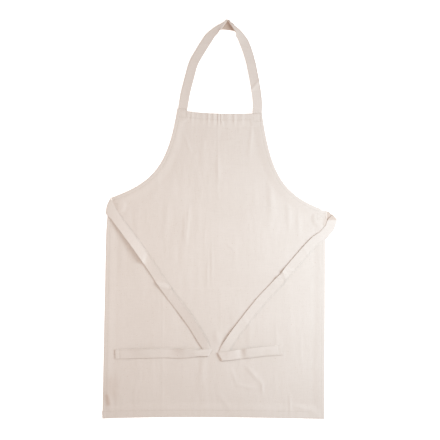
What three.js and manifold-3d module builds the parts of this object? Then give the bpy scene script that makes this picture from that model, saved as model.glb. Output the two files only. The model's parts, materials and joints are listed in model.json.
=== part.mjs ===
// A kitchen apron of cream cotton canvas, lying flat with its front up: a bib and a
// skirt that meet at the waist, turned hems all round, a neck loop and two waist ties.
// Millimetres. +X to the right, +Y towards the neck, +Z up out of the cloth.
import * as THREE from "three";
import { mergeVertices } from "three/addons/utils/BufferGeometryUtils.js";
import Module from "manifold-3d";

const wasm = await Module();
wasm.setup();

// Cloth
const CANVAS = 0.6; // one layer
const TURNED = 1.2; // a hem's two turned layers, or a tape folded from the canvas
const THREAD = 0.3; // how far a row of stitches stands
const ROW = 0.6; // width of a row of stitches
const GAP = 0.3; // air between neighbours

// Hems, tapes and label
const HEM = { top: 20, armhole: 12, side: 12, bottom: 22 };
const STITCH_INSET = 2; // from a hem's inner edge to its row of stitches
const TAPE_WIDTH = 28;
const STRAP_SEWN = 28; // length of neck strap sewn behind the bib
const SEAM_INSET = 2.5; // from a tape's edge to the seam that closes it
const LABEL = { width: 36, height: 30, y: -527 };
const TIE_END_TURN = 11; // the turned end of a tie

// Corners of the apron as it lies, a little askew
const point = (x, y) => new THREE.Vector2(x, y);
const BIB = { left: point(-122, 327), right: point(126, 313) };
const WAIST = { left: point(-319, 63), right: point(317, 25) };
const HIP = { left: point(-331.5, -60), right: point(312.5, -70) };
const FOOT = { left: point(-342, -584), right: point(309, -585) };

// Layers, from the table up: [lowest, highest]
const above = (layer, thick) => [layer[1] + GAP, layer[1] + GAP + thick];
const HEM_LAYER = [0, TURNED];
const PANEL_LAYER = above(HEM_LAYER, CANVAS);
const LABEL_LAYER = [HEM_LAYER[1] - THREAD, HEM_LAYER[1]];
const PANEL_THREAD = above(PANEL_LAYER, THREAD);
const TIE_LAYER = above(PANEL_THREAD, TURNED);
const TIE_THREAD = above(TIE_LAYER, THREAD);
const FREE_END_LAYER = above(TIE_THREAD, TURNED);
const FREE_END_THREAD = above(FREE_END_LAYER, THREAD);
const STRAP_THREAD = above(HEM_LAYER, THREAD);

// Edges of the panel, each from its first corner to its last, anticlockwise round the apron
const curve = (steps, ...p) =>
  (p.length === 4 ? new THREE.CubicBezierCurve(...p) : new THREE.QuadraticBezierCurve(...p))
    .getPoints(steps);
const EDGES = {
  top: [BIB.right, BIB.left],
  leftArmhole: curve(20, BIB.left, point(-149, 159), point(-190, 108), WAIST.left),
  leftSide: [...curve(6, WAIST.left, point(-329, 20), HIP.left), FOOT.left],
  bottom: [FOOT.left, FOOT.right],
  rightSide: [FOOT.right, ...curve(6, HIP.right, point(317, -10), WAIST.right)],
  rightArmhole: curve(20, WAIST.right, point(188, 68), point(152, 130), BIB.right),
};

// Neck loop, from the bib's left corner round the crown to its right corner
const STRAP_PATH = [
  point(-107.5, 300), point(-106.5, 324), point(-97.5, 371), point(-84, 424),
  point(-69, 464), point(-44, 506), point(-20, 543), point(20, 569),
  point(56, 547), point(74, 518), point(89, 476), point(99, 433),
  point(109, 380), point(113, 340), point(112, 312), point(112, 290),
];

// Ties: where each one is sewn, turns over the side edge, folds back and ends
const TIES = {
  left: {
    sewn: point(-292, 38), turn: point(-331, 38),
    fold: point(-28, -390), end: point(-304, -395),
  },
  right: {
    sewn: point(283, 9.5), turn: point(335.5, 9.5),
    fold: point(4.5, -402), end: point(188, -383),
  },
};

const canvas = new THREE.MeshStandardMaterial({ color: 0xe8e1d8, roughness: 0.92, metalness: 0 });
const tapeCanvas = new THREE.MeshStandardMaterial({ color: 0xece5dc, roughness: 0.9, metalness: 0 });
const cotton = new THREE.MeshStandardMaterial({ color: 0xf1ebe2, roughness: 0.7, metalness: 0 });
const satin = new THREE.MeshStandardMaterial({ color: 0xf4f2ee, roughness: 0.5, metalness: 0 });

// Solids

function solidOf(geometry) {
  geometry.deleteAttribute("normal");
  geometry.deleteAttribute("uv");
  const merged = mergeVertices(geometry, 1e-4);
  return new wasm.Manifold(new wasm.Mesh({
    numProp: 3,
    vertProperties: new Float32Array(merged.attributes.position.array),
    triVerts: new Uint32Array(merged.index.array),
  }));
}

/** A flat piece of the given outline, and holes if it has any, filling a layer. */
function slab(outline, [low, high], holes = []) {
  const shape = new THREE.Shape(outline);
  shape.holes = holes.map((hole) => new THREE.Path(hole));
  const depth = high - low;
  const geometry = new THREE.ExtrudeGeometry(shape, { depth, bevelEnabled: false, steps: 1 });
  return solidOf(geometry.translate(0, 0, low));
}

function geometryOf(solid) {
  const { vertProperties, triVerts } = solid.getMesh();
  const geometry = new THREE.BufferGeometry();
  geometry.setAttribute("position", new THREE.BufferAttribute(vertProperties, 3));
  geometry.setIndex(new THREE.BufferAttribute(triVerts, 1));
  geometry.computeVertexNormals();
  return geometry;
}

/** Everything to the left of the line from a to b, as a block to cut with. */
function leftOf(a, b, shift = 0) {
  const REACH = 2000;
  const along = b.clone().sub(a).normalize();
  const across = point(-along.y, along.x);
  const start = a.clone().addScaledVector(across, shift);
  const corner = (u, v) => start.clone().addScaledVector(along, u).addScaledVector(across, v);
  const square = [corner(-REACH, 0), corner(REACH, 0), corner(REACH, REACH), corner(-REACH, REACH)];
  return slab(square, [-10, 30]);
}

const level = (y) => [point(0, y), point(1, y)];
const aboveLevel = (y) => leftOf(...level(y));
const belowLevel = (y) => leftOf(...level(y).reverse());

/** The path moved sideways, to its left where distance is positive. */
function offset(path, distance) {
  return path.map((p, i) => {
    const before = path[Math.max(i - 1, 0)];
    const after = path[Math.min(i + 1, path.length - 1)];
    const along = after.clone().sub(before).normalize();
    return p.clone().addScaledVector(point(-along.y, along.x), distance);
  });
}

/** A band between two offsets of one path. */
function band(path, near, far, layer) {
  const outline = [...offset(path, near), ...offset(path, far).reverse()];
  if (THREE.ShapeUtils.isClockWise(outline)) outline.reverse();
  return slab(outline, layer);
}

/** A straight piece of tape whose two ends are cut along the given directions. */
function tapeOutline(from, to, fromCut, toCut, width = TAPE_WIDTH, shift = 0) {
  const along = to.clone().sub(from).normalize();
  const across = point(-along.y, along.x);
  const corner = (centre, cut, side) =>
    centre.clone().addScaledVector(cut, (shift + side * width / 2) / cut.dot(across));
  return [
    corner(from, fromCut, -1), corner(to, toCut, -1), corner(to, toCut, 1), corner(from, fromCut, 1),
  ];
}

/** The direction of the crease where a flat tape turns from one direction to another. */
const creaseOf = (into, outOf) => into.clone().add(outOf).normalize();

const square = (from, to) => {
  const along = to.clone().sub(from).normalize();
  return point(-along.y, along.x);
};

// Pieces

const apron = new THREE.Group();

function add(name, solid, material) {
  const mesh = new THREE.Mesh(geometryOf(solid), material);
  mesh.name = name;
  apron.add(mesh);
}

const belowWaist = leftOf(WAIST.right, WAIST.left, -GAP / 2);
const aboveWaist = leftOf(WAIST.left, WAIST.right, -GAP / 2);
const tieTop = (side) => TIES[side].sewn.y + TAPE_WIDTH / 2;
const tieBottom = (side) => TIES[side].sewn.y - TAPE_WIDTH / 2;

function panels() {
  const outline = Object.values(EDGES).flatMap((edge) => edge.slice(0, -1));
  const whole = slab(outline, PANEL_LAYER);
  add("bib_panel", whole.subtract(belowWaist), canvas);
  add("skirt_panel", whole.subtract(aboveWaist), canvas);
}

/** The sewn end of the neck strap behind one corner of the bib. */
function strapEndOutline(side) {
  const x = side === "left" ? STRAP_PATH[1].x : STRAP_PATH.at(-2).x;
  const slope = (BIB.right.y - BIB.left.y) / (BIB.right.x - BIB.left.x);
  const edgeY = (at) => BIB.left.y + slope * (at - BIB.left.x);
  const [low, high] = [x - TAPE_WIDTH / 2 + 1, x + TAPE_WIDTH / 2 - 1];
  return [
    point(low, edgeY(low) - STRAP_SEWN), point(high, edgeY(high) - STRAP_SEWN),
    point(high, edgeY(high)), point(low, edgeY(low)),
  ];
}

/** Keeps a strip clear of the sewn ends of the neck strap. */
function clearOfStrap(solid) {
  return ["left", "right"].reduce((kept, side) => {
    const grown = strapEndOutline(side).map((p, i) =>
      point(p.x + (i === 1 || i === 2 ? GAP : -GAP), p.y + (i > 1 ? GAP : -GAP)));
    return kept.subtract(slab(grown, [-10, 30]));
  }, solid);
}

function hems() {
  const largest = (solid) =>
    solid.decompose().sort((a, b) => b.volume() - a.volume())[0];
  const bottomTop = FOOT.left.y + HEM.bottom + GAP;
  const hem = (edge, width) => band(EDGES[edge], 0, width, HEM_LAYER);
  add("top_hem", largest(clearOfStrap(hem("top", HEM.top))), canvas);
  for (const side of ["left", "right"]) {
    const armhole = clearOfStrap(hem(`${side}Armhole`, HEM.armhole))
      .subtract(aboveLevel(BIB[side].y - STRAP_SEWN - GAP)).subtract(belowWaist);
    add(`${side}_armhole_hem`, largest(armhole), canvas);
    const down = hem(`${side}Side`, HEM.side)
      .subtract(aboveLevel(tieBottom(side) - GAP)).subtract(belowLevel(bottomTop));
    add(`${side}_side_hem`, largest(down), canvas);
  }
  add("bottom_hem", hem("bottom", HEM.bottom), canvas);
}

/** One row of stitches along each hem, on the panel's face. */
function hemStitches() {
  const row = (edge, width) => {
    const near = width - STITCH_INSET;
    return band(EDGES[edge], near, near + ROW, PANEL_THREAD);
  };
  const crossing = 2 * STITCH_INSET;
  const strapInner = STRAP_PATH[1].x + TAPE_WIDTH / 2;
  const strapOuter = STRAP_PATH.at(-2).x - TAPE_WIDTH / 2;
  const columns = (low, high) =>
    leftOf(point(low, 0), point(low, 1)).add(leftOf(point(high, 1), point(high, 0)));
  add("top_hem_thread", row("top", HEM.top).subtract(columns(strapInner, strapOuter)), cotton);
  for (const side of ["left", "right"]) {
    const armhole = row(`${side}Armhole`, HEM.armhole)
      .subtract(aboveLevel(BIB[side].y - STRAP_SEWN - crossing)).subtract(belowWaist);
    add(`${side}_armhole_thread`, armhole, cotton);
    const down = row(`${side}Side`, HEM.side)
      .subtract(aboveLevel(tieBottom(side) - crossing))
      .subtract(belowLevel(FOOT[side].y + HEM.bottom + crossing));
    add(`${side}_side_thread`, down, cotton);
  }
  add("bottom_hem_thread", row("bottom", HEM.bottom), cotton);
}

/** A closed row of stitches just inside a four-cornered outline. */
function stitchBox(outline, inset, layer) {
  const centre = outline.reduce((sum, p) => sum.add(p), point(0, 0)).divideScalar(4);
  const shrunk = (by) => outline.map((p) => {
    const out = p.clone().sub(centre);
    return centre.clone().add(point(
      Math.sign(out.x) * (Math.abs(out.x) - by), Math.sign(out.y) * (Math.abs(out.y) - by)));
  });
  return slab(shrunk(inset), layer, [shrunk(inset + ROW)]);
}

function neckStrap() {
  const path = new THREE.SplineCurve(STRAP_PATH).getPoints(72);
  const beyondBib = leftOf(BIB.left, BIB.right, GAP);
  const loop = band(path, -TAPE_WIDTH / 2, TAPE_WIDTH / 2, HEM_LAYER).intersect(beyondBib);
  add("neck_strap", loop, tapeCanvas);
  const seamAt = TAPE_WIDTH / 2 - SEAM_INSET;
  const seam = band(path, seamAt - ROW, seamAt, STRAP_THREAD)
    .intersect(leftOf(BIB.left, BIB.right, 2 * STITCH_INSET));
  add("neck_strap_seam", seam, cotton);
  for (const side of ["left", "right"]) {
    const outline = strapEndOutline(side);
    add(`${side}_strap_sewn_end`, slab(outline, HEM_LAYER), tapeCanvas);
    add(`${side}_strap_stitching`, stitchBox(outline, SEAM_INSET, PANEL_THREAD), cotton);
  }
}

function tie(side) {
  const { sewn, turn, fold, end } = TIES[side];
  const way = (from, to) => to.clone().sub(from).normalize();
  const step = (from, to, distance) => from.clone().addScaledVector(way(from, to), distance);
  const turnCrease = creaseOf(way(sewn, turn), way(turn, fold));
  const foldCrease = creaseOf(way(turn, fold), way(fold, end));

  const sewnEnd = tapeOutline(sewn, step(turn, sewn, GAP), square(sewn, turn), turnCrease);
  add(`${side}_tie_sewn_end`, slab(sewnEnd, HEM_LAYER), tapeCanvas);

  const from = step(turn, fold, GAP);
  const to = step(fold, turn, GAP);
  add(`${side}_tie`, slab(tapeOutline(from, to, turnCrease, foldCrease), TIE_LAYER), tapeCanvas);

  const restart = step(fold, end, GAP);
  const freeEnd = tapeOutline(restart, end, foldCrease, square(fold, end));
  add(`${side}_tie_free_end`, slab(freeEnd, FREE_END_LAYER), tapeCanvas);

  const seamAt = TAPE_WIDTH / 2 - SEAM_INSET;
  const margin = 2 * TAPE_WIDTH;
  const seam = (a, b, layer) => {
    const [p, q] = [step(a, b, margin), step(b, a, margin / 2)];
    return slab(tapeOutline(p, q, square(a, b), square(a, b), ROW, seamAt), layer);
  };
  add(`${side}_tie_seam`, seam(turn, fold, TIE_THREAD), cotton);
  add(`${side}_tie_free_end_seam`, seam(fold, end, FREE_END_THREAD), cotton);

  const across = square(fold, end);
  const turned = step(end, fold, TIE_END_TURN);
  const cross = tapeOutline(turned, step(turned, fold, ROW), across, across,
    TAPE_WIDTH - 2 * SEAM_INSET);
  add(`${side}_tie_end_stitching`, slab(cross, FREE_END_THREAD), cotton);

  const tack = tapeOutline(sewn, point(WAIST[side].x, sewn.y), across.set(0, 1), across);
  const ordered = THREE.ShapeUtils.isClockWise(tack) ? tack.reverse() : tack;
  add(`${side}_tie_stitching`, stitchBox(ordered, 2 * SEAM_INSET, PANEL_THREAD), cotton);
}

function careLabel() {
  const x = FOOT.left.x + HEM.side + 4;
  const outline = [
    point(x, LABEL.y - LABEL.height / 2), point(x + LABEL.width, LABEL.y - LABEL.height / 2),
    point(x + LABEL.width, LABEL.y + LABEL.height / 2), point(x, LABEL.y + LABEL.height / 2),
  ];
  add("care_label", slab(outline, LABEL_LAYER), satin);
}

panels();
hems();
hemStitches();
neckStrap();
tie("left");
tie("right");
careLabel();

export default apron;
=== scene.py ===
"""A kitchen apron of cream cotton canvas, lying flat: the cloth, hems, tapes, stitches and label."""
import json
import math

import bpy
import numpy as np
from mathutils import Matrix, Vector


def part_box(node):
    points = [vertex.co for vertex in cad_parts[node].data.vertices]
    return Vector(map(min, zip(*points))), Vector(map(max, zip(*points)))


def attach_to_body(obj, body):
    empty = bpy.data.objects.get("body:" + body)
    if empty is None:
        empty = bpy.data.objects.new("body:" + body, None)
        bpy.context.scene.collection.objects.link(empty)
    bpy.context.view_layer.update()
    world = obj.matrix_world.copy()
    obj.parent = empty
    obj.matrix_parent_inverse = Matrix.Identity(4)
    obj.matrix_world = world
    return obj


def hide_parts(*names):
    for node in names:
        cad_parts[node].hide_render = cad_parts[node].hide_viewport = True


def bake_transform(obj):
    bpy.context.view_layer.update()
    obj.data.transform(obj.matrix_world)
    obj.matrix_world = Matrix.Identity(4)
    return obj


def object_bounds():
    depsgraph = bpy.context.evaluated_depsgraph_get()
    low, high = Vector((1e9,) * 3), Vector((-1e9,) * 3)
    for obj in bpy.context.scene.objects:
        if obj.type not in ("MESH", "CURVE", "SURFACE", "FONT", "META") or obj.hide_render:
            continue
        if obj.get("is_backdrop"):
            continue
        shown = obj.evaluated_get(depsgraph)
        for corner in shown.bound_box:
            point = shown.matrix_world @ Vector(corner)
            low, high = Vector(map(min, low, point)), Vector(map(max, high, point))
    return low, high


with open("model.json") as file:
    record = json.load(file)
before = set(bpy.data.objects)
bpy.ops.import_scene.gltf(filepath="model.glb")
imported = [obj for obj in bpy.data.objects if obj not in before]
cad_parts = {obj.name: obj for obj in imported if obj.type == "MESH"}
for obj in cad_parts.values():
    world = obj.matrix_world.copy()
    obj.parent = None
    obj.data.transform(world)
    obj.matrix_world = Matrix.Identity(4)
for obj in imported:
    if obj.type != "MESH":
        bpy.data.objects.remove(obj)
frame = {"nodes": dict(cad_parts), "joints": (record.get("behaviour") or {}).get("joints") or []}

CAD_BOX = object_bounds()
MM = 0.001  # the shapes below are worked out in millimetres

# Cloth and tape, in millimetres
CANVAS = 0.6
TURNED = 1.1  # the two turned layers of a hem
TAPE_THICK = 1.2
TAPE_HALF = 14.0
HEM = {"top": 20.0, "side": 12.0, "bottom": 22.0}
STITCH_INSET = 2.0  # from a hem's inner edge to its stitches
STITCH_PITCH = 3.1
SEAM_INSET = 2.5  # from a tape's edge to the seam that closes it
FLAT_Z = 0.5  # middle of the cloth where it lies on the table
HEM_LIFT = 1.85  # how much further up it is over a hem
SEWN_LIFT = 2.2  # and where a tape is sewn behind it
GAP = 0.05  # between layers that lie on each other
UNDER = -CANVAS / 2 - GAP  # just under the cloth, from its middle

# Colours of the cloth, the tape, and the painted shade mixed into them
CLOTH_LIGHT, CLOTH_DARK = (0.825, 0.747, 0.674), (0.805, 0.725, 0.650)
TAPE_LIGHT, TAPE_DARK = (0.835, 0.757, 0.686), (0.805, 0.727, 0.652)
PAINTED_SHADE_COLOUR = (0.60, 0.45, 0.355)


# -------- camera and lights

CAMERA_PLACE = (0.0029, -0.0015, 3.2)  # metres
LENS, SENSOR = 89.2, 36.0
WORLD_COLOUR, WORLD_STRENGTH = (1.0, 0.859, 0.807, 1), 0.51
# Square lights: place, the point each is aimed at, width, power in watts and colour
LIGHTS = {"key": ((1.0, -0.06, 0.7), (0.1, -0.04, 0), 0.6, 11.4, (0.708, 0.874, 1.0)),
          "overhead": ((-0.36, -0.08, 0.9), (-0.36, -0.08, 0), 0.7, 2.5, (1, 1, 1))}
FLOOR_SIZE, FLOOR_Z = 9, -0.0004
FLOOR_COLOUR, FLOOR_GLOW = (0.93, 0.93, 0.93, 1), 0.6


def placed(name, data):
    """A new object in the scene."""
    thing = bpy.data.objects.new(name, data)
    bpy.context.scene.collection.objects.link(thing)
    return thing


def camera_above():
    """Straight above the apron, with the whole of it in the picture."""
    data = bpy.data.cameras.new("camera")
    data.lens, data.sensor_width = LENS, SENSOR
    camera = placed("camera", data)
    camera.location = CAMERA_PLACE
    bpy.context.scene.camera = camera


def studio():
    scene = bpy.context.scene
    scene.view_settings.view_transform = "Standard"
    world = bpy.data.worlds.new("world")
    world.use_nodes = True
    background = world.node_tree.nodes["Background"]
    put(background, Color=WORLD_COLOUR, Strength=WORLD_STRENGTH)
    scene.world = world
    for name, (place, aim, size, power, colour) in LIGHTS.items():
        data = bpy.data.lights.new(name, "AREA")
        data.shape, data.size, data.energy, data.color = "SQUARE", size, power, colour
        light = placed(name, data)
        light.location = place
        light.rotation_euler = (Vector(aim) - Vector(place)).to_track_quat("-Z", "Y").to_euler()


# -------- materials and the floor

def nodes_of(name):
    """A new material, its tree, its shader and the place of each point on the object."""
    material = bpy.data.materials.new(name)
    material.use_nodes = True
    tree = material.node_tree
    place = tree.nodes.new("ShaderNodeTexCoord").outputs["Object"]
    return material, tree, tree.nodes["Principled BSDF"], place


def put(node, **values):
    """Sets inputs of a node by name, with _ for a space."""
    for name, value in values.items():
        node.inputs[name.replace("_", " ")].default_value = value


def feed(tree, socket, value):
    """Sets a socket to a number or a colour, or links it to what another node gives."""
    if isinstance(value, (int, float)):
        socket.default_value = value
    elif isinstance(value, tuple):
        socket.default_value = (*value, 1)
    else:
        tree.links.new(value, socket)


def floor():
    """A plain white table."""
    bpy.ops.mesh.primitive_plane_add(size=FLOOR_SIZE, location=(0, 0, FLOOR_Z))
    plane = bpy.context.object
    plane.name = "table"
    material, _, shader, _ = nodes_of("white_table")
    put(shader, Base_Color=FLOOR_COLOUR, Roughness=0.9, Emission_Color=(1, 1, 1, 1),
        Emission_Strength=FLOOR_GLOW)
    plane.data.materials.append(material)
    plane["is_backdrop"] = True


def ramp(tree, source, stops):
    node = tree.nodes.new("ShaderNodeValToRGB")
    while len(node.color_ramp.elements) < len(stops):
        node.color_ramp.elements.new(0.5)
    for element, (at, colour) in zip(node.color_ramp.elements, stops):
        element.position, element.color = at, (*colour, 1)
    tree.links.new(source, node.inputs["Fac"])
    return node.outputs["Color"]


def mapped(tree, place, turn, stretch=(1, 1, 1)):
    mapping = tree.nodes.new("ShaderNodeMapping")
    put(mapping, Scale=stretch, Rotation=(0, 0, turn))
    tree.links.new(place, mapping.inputs["Vector"])
    return mapping.outputs["Vector"]


def noise(tree, place, scale, stretch=(1, 1, 1), detail=2.0, turn=0.0):
    texture = tree.nodes.new("ShaderNodeTexNoise")
    put(texture, Scale=scale, Detail=detail)
    tree.links.new(mapped(tree, place, turn, stretch), texture.inputs["Vector"])
    return texture.outputs["Fac"]


def math_node(tree, operation, a, b):
    node = tree.nodes.new("ShaderNodeMath")
    node.operation = operation
    feed(tree, node.inputs[0], a)
    feed(tree, node.inputs[1], b)
    return node.outputs[0]


def mix(tree, factor, a, b, kind="MIX"):
    node = tree.nodes.new("ShaderNodeMix")
    node.data_type, node.blend_type = "RGBA", kind
    for socket, value in zip((0, 6, 7), (factor, a, b)):  # the factor and the two colours
        feed(tree, node.inputs[socket], value)
    return node.outputs[2]


THREADS_PER_M = 1400.0
BANDS = 20 / (2 * math.pi)  # bands in a metre of a wave texture at scale 1
SLUBS = {"scale": 620.0, "narrow": 0.08, "strength": 0.14, "relief": 1.5}
SLUB_TONES = [(0.35, (0.80, 0.77, 0.73)), (0.50, (0.97, 0.965, 0.96)), (0.65, (1.06, 1.06, 1.06))]
FLECK_SCALE, FLECK_STRENGTH = 420.0, 0.5
FLECK_TONES = [(0.80, (1, 1, 1)), (0.86, (0.72, 0.60, 0.44))]
WEAVE_BUMP, WEAVE_DEPTH = 0.25, 0.0003


def canvas(name, light, dark, turn=0.0):
    """Unbleached plain-weave cotton: threads, slubs, seed flecks, uneven tone, and painted shade
    where a piece's attribute asks for it.
    """
    material, tree, shader, place = nodes_of(name)
    tone = noise(tree, place, 9.0, detail=3.0)
    slub_along = noise(tree, place, SLUBS["scale"], (1.0, SLUBS["narrow"], 1.0), 2.0, turn)
    slub_across = noise(tree, place, SLUBS["scale"], (SLUBS["narrow"], 1.0, 1.0), 2.0, turn)
    slubs = math_node(tree, "ADD", slub_along, slub_across)
    base = ramp(tree, tone, [(0.3, dark), (0.7, light)])
    streaks = ramp(tree, math_node(tree, "MULTIPLY", slubs, 0.5), SLUB_TONES)
    base = mix(tree, SLUBS["strength"], base, streaks, "MULTIPLY")
    flecks = ramp(tree, noise(tree, place, FLECK_SCALE, detail=0.0), FLECK_TONES)
    base = mix(tree, FLECK_STRENGTH, base, flecks, "MULTIPLY")
    # painted shade: an attribute darkens the colour towards a brown tone where a piece asks for it
    paint_shade = tree.nodes.new("ShaderNodeAttribute")
    paint_shade.attribute_name = "painted_shade"
    base = mix(tree, paint_shade.outputs["Fac"], base, PAINTED_SHADE_COLOUR)
    tree.links.new(base, shader.inputs["Base Color"])

    turned = mapped(tree, place, turn)
    waves = []
    for direction in ("X", "Y"):
        wave = tree.nodes.new("ShaderNodeTexWave")
        wave.bands_direction = direction
        put(wave, Scale=THREADS_PER_M / BANDS, Distortion=0.6, Detail_Scale=40.0)
        tree.links.new(turned, wave.inputs["Vector"])
        waves.append(wave.outputs["Fac"])
    weave = math_node(tree, "MAXIMUM", *waves)
    height = math_node(tree, "ADD", weave, math_node(tree, "MULTIPLY", slubs, SLUBS["relief"]))
    bump = tree.nodes.new("ShaderNodeBump")
    put(bump, Strength=WEAVE_BUMP, Distance=WEAVE_DEPTH)
    tree.links.new(height, bump.inputs["Height"])
    tree.links.new(bump.outputs["Normal"], shader.inputs["Normal"])
    rough = ramp(tree, weave, [(0.0, (0.95,) * 3), (1.0, (0.82,) * 3)])
    tree.links.new(rough, shader.inputs["Roughness"])
    shader.inputs["Sheen Weight"].default_value = 0.15
    shader.inputs["Sheen Roughness"].default_value = 0.5
    shader.inputs["Specular IOR Level"].default_value = 0.2
    return material


def thread_material():
    """Twisted cotton thread."""
    material, tree, shader, place = nodes_of("cotton_thread")
    tone = noise(tree, place, 300.0)
    colour = ramp(tree, tone, [(0.3, (0.62, 0.55, 0.46)), (0.7, (0.74, 0.68, 0.60))])
    tree.links.new(colour, shader.inputs["Base Color"])
    rough = ramp(tree, noise(tree, place, 900.0), [(0.2, (0.6,) * 3), (0.8, (0.8,) * 3)])
    tree.links.new(rough, shader.inputs["Roughness"])
    shader.inputs["Sheen Weight"].default_value = 0.2
    return material


def label_material():
    """Blank woven satin."""
    material, tree, shader, place = nodes_of("satin_label")
    ribs = noise(tree, place, 1500.0, (0.05, 1.0, 1.0))
    tree.links.new(ramp(tree, ribs, [(0.3, (0.72, 0.71, 0.68)), (0.7, (0.80, 0.79, 0.76))]),
                   shader.inputs["Base Color"])
    tree.links.new(ramp(tree, ribs, [(0.3, (0.35,) * 3), (0.7, (0.5,) * 3)]),
                   shader.inputs["Roughness"])
    return material


# -------- small maths

def smooth(t):
    t = np.clip(t, 0, 1)
    return t * t * (3 - 2 * t)


class Lattice:
    """Smooth value noise from -1 to 1, the same each run."""

    def __init__(self, seed, size=64):
        self.size = size
        self.table = np.random.default_rng(seed).uniform(-1, 1, (size, size))

    def __call__(self, x, y):
        x, y = np.broadcast_arrays(np.asarray(x, float), np.asarray(y, float))
        i, j = np.floor(x).astype(int), np.floor(y).astype(int)
        u, v = smooth(x - i), smooth(y - j)
        corner = lambda a, b: self.table[(i + a) % self.size, (j + b) % self.size]
        low = corner(0, 0) * (1 - u) + corner(1, 0) * u
        high = corner(0, 1) * (1 - u) + corner(1, 1) * u
        return low * (1 - v) + high * v


def to_segment(x, y, a, b):
    """Distance from each point to the segment from a to b, and how far along it, from 0 to 1."""
    (ax, ay), (bx, by) = a, b
    dx, dy = bx - ax, by - ay
    t = np.clip(((x - ax) * dx + (y - ay) * dy) / max(dx * dx + dy * dy, 1e-9), 0, 1)
    return np.hypot(x - ax - t * dx, y - ay - t * dy), t


def to_line(x, y, line):
    return np.minimum.reduce([to_segment(x, y, a, b)[0] for a, b in zip(line[:-1], line[1:])])


def unit(v):
    return v / np.linalg.norm(v, axis=-1, keepdims=True)


def lengths(line):
    """Distance along a line to each of its points."""
    gaps = np.linalg.norm(np.diff(line, axis=0), axis=1)
    return np.concatenate([[0], np.cumsum(gaps)])


def resample(line, step):
    """Points a step apart along a line."""
    at = lengths(line)
    places = np.linspace(0, at[-1], max(int(round(at[-1] / step)), 1) + 1)
    return np.stack([np.interp(places, at, line[:, k]) for k in range(line.shape[1])], axis=1)


def inset(line, distance):
    """The line moved sideways, to its left where distance is positive."""
    along = unit(np.gradient(line, axis=0))
    return line + distance * np.stack([-along[:, 1], along[:, 0]], axis=1)


def spline(points, steps):
    """A smooth curve through the points, with steps to each gap."""
    points = np.asarray(points, float)
    ends = [2 * points[0] - points[1], *points, 2 * points[-1] - points[-2]]
    curve = []
    for a, b, c, d in zip(ends[:-3], ends[1:-2], ends[2:-1], ends[3:]):
        for t in np.arange(steps) / steps:
            curve.append(0.5 * (2 * b + (c - a) * t + (2 * a - 5 * b + 4 * c - d) * t ** 2
                                + (3 * b - a - 3 * c + d) * t ** 3))
    return np.array([*curve, points[-1]])


# -------- the apron's outline, from the frame

def corner_points(*names):
    points = [np.array([v.co for v in frame["nodes"][n].data.vertices]) for n in names]
    return np.unique(np.round(np.concatenate(points)[:, :2] / MM, 1), axis=0)


def side_of(points, sign):
    chosen = points[points[:, 0] * sign > 0]
    return chosen[np.argsort(chosen[:, 1])]


SIDES = {"left": -1, "right": 1}
EDGE = {side: side_of(corner_points("bib_panel", "skirt_panel"), sign)
        for side, sign in SIDES.items()}
WAIST = {side: side_of(corner_points("skirt_panel"), sign)[-1] for side, sign in SIDES.items()}
BIB_SAG = 10.0  # how far the bib's top edge dips between the straps
FOOT_RISE = 5.0  # how far the skirt's bottom edge rises in the middle


def middle(u):
    """0 at both sides and 1 in the middle."""
    return np.sin(math.pi * np.clip(u, 0, 1))


def edge_point(side, part, v):
    """A point of a side edge: part is bib or skirt, and v runs from 0 to 1 up it."""
    edge, waist = EDGE[side], WAIST[side][1]
    low, high = (waist, edge[-1, 1]) if part == "bib" else (edge[0, 1], waist)
    y = low + v * (high - low)
    return np.stack([np.interp(y, edge[:, 1], edge[:, 0]), y], axis=-1)


def cloth_point(part, u, v):
    """A point of the cloth seen from above: u from 0 to 1 across, v from 0 to 1 up the part."""
    left, right = edge_point("left", part, v), edge_point("right", part, v)
    point = left + u[..., None] * (right - left)
    if part == "bib":
        point[..., 1] -= BIB_SAG * middle(u ** 0.7) ** 0.8 * smooth((v - 0.55) / 0.45)
    else:
        point[..., 1] += FOOT_RISE * middle(u ** 0.8) * smooth((0.25 - v) / 0.25)
    return point


def row_line(part, v, count=41):
    u = np.linspace(0, 1, count)
    return cloth_point(part, u, np.full(count, float(v)))


TOP_LINE, BOTTOM_LINE = row_line("bib", 1), row_line("skirt", 0)


# -------- how the cloth lies

# Ridges of the cloth: from, to, height and half width, in millimetres
RIDGES = [
    ((-88, 42), (-97, -72), 1.8, 5), ((-99, 20), (-103, -60), 1.2, 4),
    ((-41, -20), (-44, -120), 1.0, 4), ((-22, -60), (-20, -190), 1.4, 4.5),
    ((-33, -110), (-36, -200), 1.2, 4), ((-3, 176), (-3, 112), 1.3, 8),
    ((-179, 132), (-178, 84), 1.5, 7), ((9, 292), (12, 274), 2.4, 3),
    ((97, 292), (93, 208), 1.2, 6), ((-103, 251), (-84, 200), 1.1, 5),
    ((76, -427), (128, -484), 1.4, 7), ((38, -440), (52, -486), 1.0, 5),
    ((52, -486), (106, -496), 0.8, 6), ((126, -480), (127, -508), 1.5, 4),
    ((208, -515), (209, -580), 1.7, 3.5), ((214, -545), (268, -560), 1.5, 7),
    ((268, -560), (292, -578), 1.3, 6), ((3, -515), (38, -566), 1.1, 9),
    ((-8, -322), (-2, -368), 2.0, 10), ((-44, -395), (-58, -500), 1.0, 9),
    ((-337, -490), (-318, -560), 2.6, 7), ((20, -70), (45, -88), 0.8, 5),
    ((150, 110), (158, 10), 1.4, 10), ((200, 70), (206, -40), 1.4, 9),
    ((232, 30), (236, -60), 1.2, 8), ((-150, 60), (-160, -60), 1.0, 10),
]
# Sharp creases left by the folds it was packed in: from, to and height
PACKING_FOLDS = [
    ((-3, 305), (-3, 58), 1.1), ((3, -207), (5, -380), 0.8), ((167, -205), (168, -400), 1.2),
    ((-165, -207), (-166, -585), 0.9), ((-330, -204), (312, -206), 0.8),
    ((-140, 196), (150, 190), 0.5),
]
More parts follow.
